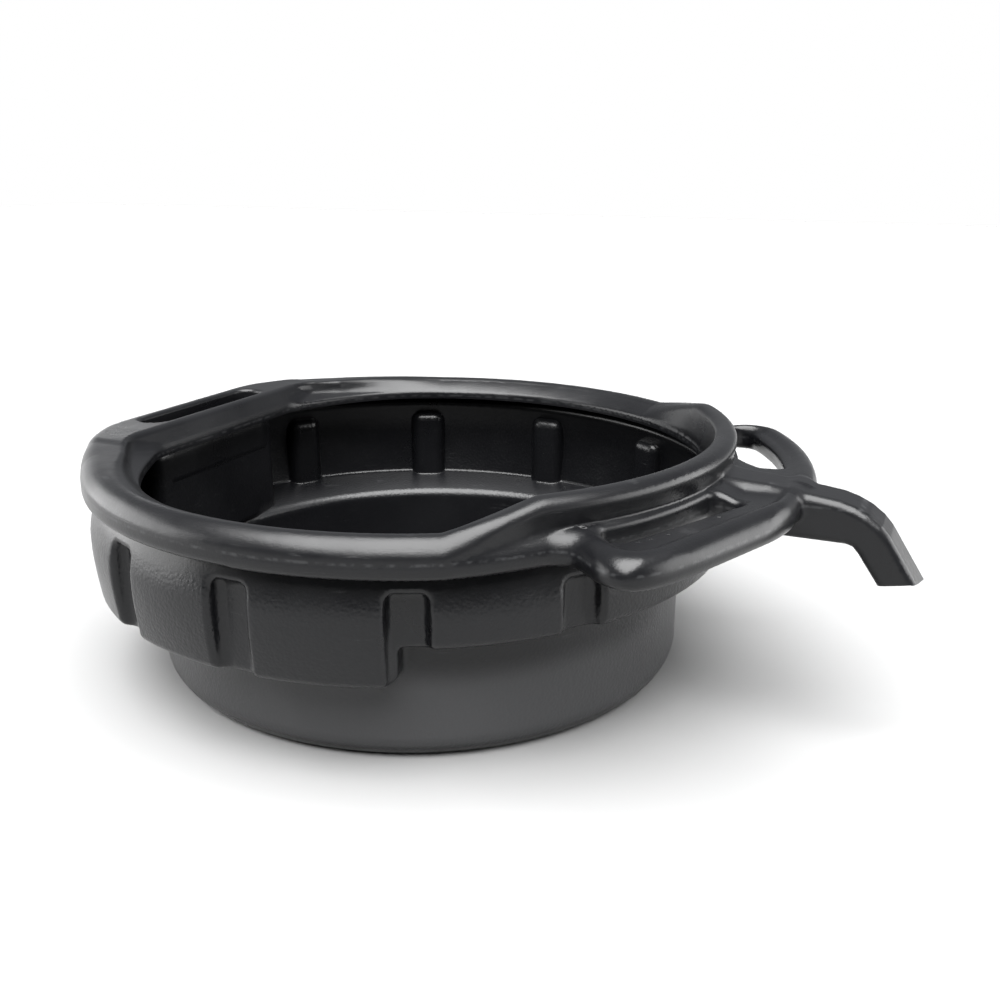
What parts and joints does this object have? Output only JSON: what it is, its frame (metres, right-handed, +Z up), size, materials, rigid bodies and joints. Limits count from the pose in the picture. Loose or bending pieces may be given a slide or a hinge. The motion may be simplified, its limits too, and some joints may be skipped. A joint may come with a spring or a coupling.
{
  "type": "oil drain pan",
  "caption": "Round open drain pan with a grooved belt, rolled rim, slotted hand grip, raised splash guard, side loop handles and a bent pouring spout.",
  "frame": {"origin": "centre of the flat underside, on the surface the pan stands on", "axes": "+X from the centre towards the spout, -X towards the hand grip, +Y to the left when looking along +X, +Z up"},
  "size_m": [0.482, 0.398, 0.148],
  "materials": {
    "shell": "satin black moulded polyethylene with a fine pebbled skin"
  },
  "bodies": {
    "root": {"floor_plate": "shell", "base_corner": "shell", "tank_wall": "shell", "deep_ledge": "shell", "shallow_ledge": "shell", "ledge_steps": "shell", "deep_panels": "shell", "deep_grooves": "shell", "shallow_panels": "shell", "shallow_grooves": "shell", "belt_shoulder": "shell", "hand_recess": "shell", "rim_front": "shell", "rim_rear": "shell", "splash_guard": "shell", "guard_ramp_front": "shell", "guard_ramp_rear": "shell", "grip_deck": "shell", "grip_lip": "shell", "loop_handle_front": "shell", "loop_handle_rear": "shell", "spout_root": "shell", "spout_arm": "shell", "spout_bend": "shell", "spout_tip": "shell"}
  },
  "joints": []
}
